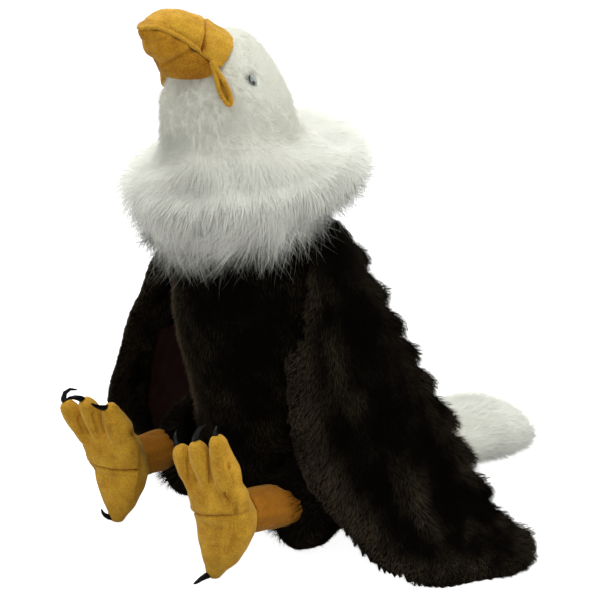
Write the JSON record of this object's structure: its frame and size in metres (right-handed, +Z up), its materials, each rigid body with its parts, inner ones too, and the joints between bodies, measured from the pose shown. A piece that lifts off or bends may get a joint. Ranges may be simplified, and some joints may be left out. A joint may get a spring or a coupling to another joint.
{
  "type": "plush toy bald eagle",
  "caption": "Stuffed plush eagle sitting upright: lifted hooked beak, long white neck ruff, cape-like brown wings to the floor, tail laid out behind, yellow feet with black talons",
  "frame": {"origin": "on the floor, below the middle of the toy's outline", "axes": "+Z up, the toy faces -Y, and its left wing is toward +X"},
  "size_m": [0.4418, 0.423, 0.4365],
  "materials": {
    "brown_plush": "dense dark brown plush pile, paler at its brushed tips",
    "white_short_pile": "short white plush pile",
    "white_long_pile": "long loose white plush pile",
    "yellow_velour": "short-napped golden yellow velour with sewn seams",
    "maroon_lining": "flat dark maroon woven lining",
    "black_talon": "glossy black moulded plastic",
    "grey_eye": "glossy grey plastic eye with a black pupil"
  },
  "bodies": {
    "root": {"beak_cere": "yellow_velour", "beak_lower": "yellow_velour", "beak_upper": "yellow_velour", "eye_left": "grey_eye", "eye_right": "grey_eye", "foot_left": "yellow_velour", "foot_right": "yellow_velour", "gape_left": "yellow_velour", "gape_right": "yellow_velour", "head": "white_short_pile", "leg_left": "yellow_velour", "leg_right": "yellow_velour", "ruff": "white_long_pile", "tail": "white_long_pile", "talon_left_hind": "black_talon", "talon_left_inner": "black_talon", "talon_left_middle": "black_talon", "talon_left_outer": "black_talon", "talon_right_hind": "black_talon", "talon_right_inner": "black_talon", "talon_right_middle": "black_talon", "talon_right_outer": "black_talon", "thigh_left": "brown_plush", "thigh_right": "brown_plush", "toe_left_hind": "yellow_velour", "toe_left_inner": "yellow_velour", "toe_left_middle": "yellow_velour", "toe_left_outer": "yellow_velour", "toe_right_hind": "yellow_velour", "toe_right_inner": "yellow_velour", "toe_right_middle": "yellow_velour", "toe_right_outer": "yellow_velour", "trunk": "brown_plush", "wing_left": "brown_plush", "wing_lining_left": "maroon_lining", "wing_lining_right": "maroon_lining", "wing_right": "brown_plush"}
  },
  "joints": []
}
